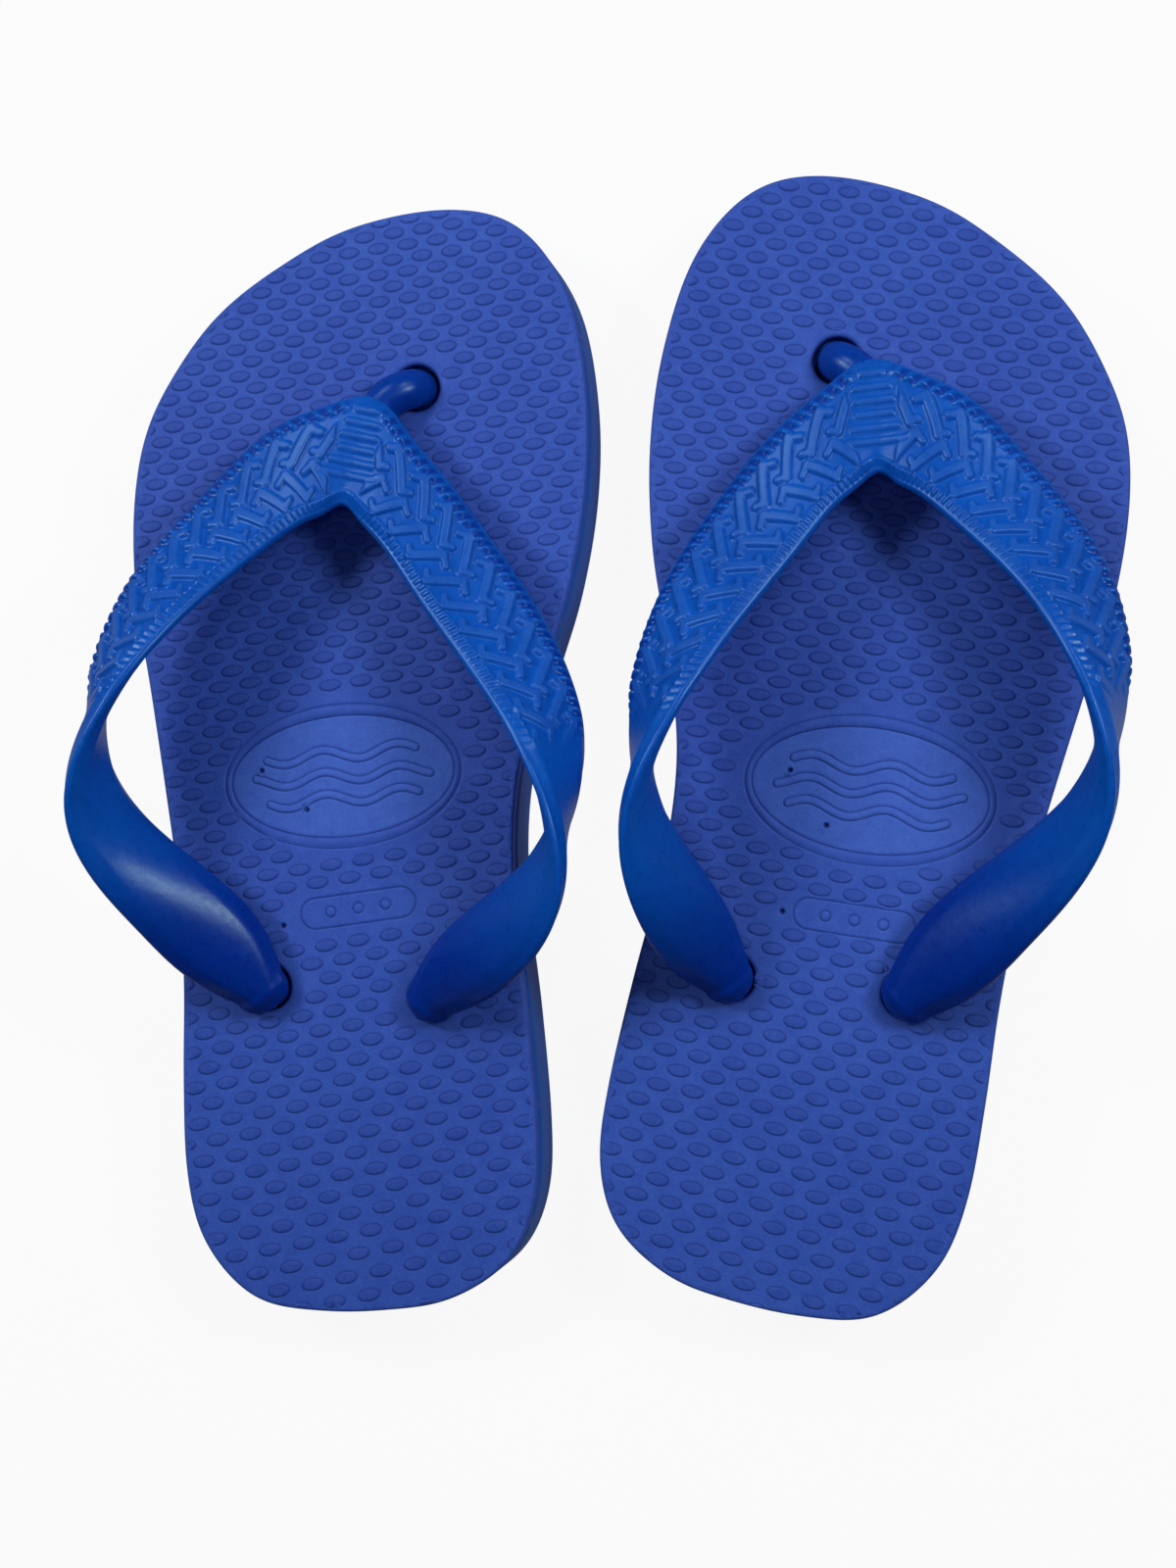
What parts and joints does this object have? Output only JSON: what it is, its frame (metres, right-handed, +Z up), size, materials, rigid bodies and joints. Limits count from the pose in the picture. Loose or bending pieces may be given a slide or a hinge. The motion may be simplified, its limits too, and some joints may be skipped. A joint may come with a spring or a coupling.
{
  "type": "flip flops",
  "caption": "Pair of child's rubber flip flops, left and right: textured footbed on a lower sole, with a one-piece V strap plugged through the sole at the toe and beside the heel.",
  "frame": {"origin": "on the floor, midway between the two sandals", "axes": "+X from the left sandal to the right one, +Y towards the toes, +Z up"},
  "size_m": [0.1632, 0.1871, 0.0402],
  "materials": {
    "footbed_rubber": "matte, raised oval texture",
    "outsole_rubber": "matte",
    "strap_pvc": "semi-gloss, slightly translucent soft PVC"
  },
  "bodies": {
    "left_forefoot": {"left_footbed_front": "footbed_rubber", "left_outsole_front": "outsole_rubber", "left_strap": "strap_pvc"},
    "left_heel": {"left_footbed_rear": "footbed_rubber", "left_outsole_rear": "outsole_rubber"},
    "right_forefoot": {"right_footbed_front": "footbed_rubber", "right_outsole_front": "outsole_rubber", "right_strap": "strap_pvc"},
    "right_heel": {"right_footbed_rear": "footbed_rubber", "right_outsole_rear": "outsole_rubber"}
  },
  "joints": [
    {"name": "left_sole_flex", "type": "hinge", "parent": "left_forefoot", "child": "left_heel", "pos_m": [-0.043, 0.0155, 0.0145], "axis": [-1, 0, 0], "range_deg": [0, 50], "stiffness_Nm_per_rad": 0.6, "deforming": ["left_strap"]},
    {"name": "right_sole_flex", "type": "hinge", "parent": "right_forefoot", "child": "right_heel", "pos_m": [0.043, 0.0225, 0.0145], "axis": [-1, 0, 0], "range_deg": [0, 50], "stiffness_Nm_per_rad": 0.6, "deforming": ["right_strap"]},
    {"name": "sandals_apart", "type": "slide", "parent": "left_forefoot", "child": "right_forefoot", "axis": [1, 0, 0], "range_m": [0, 0.15]}
  ]
}
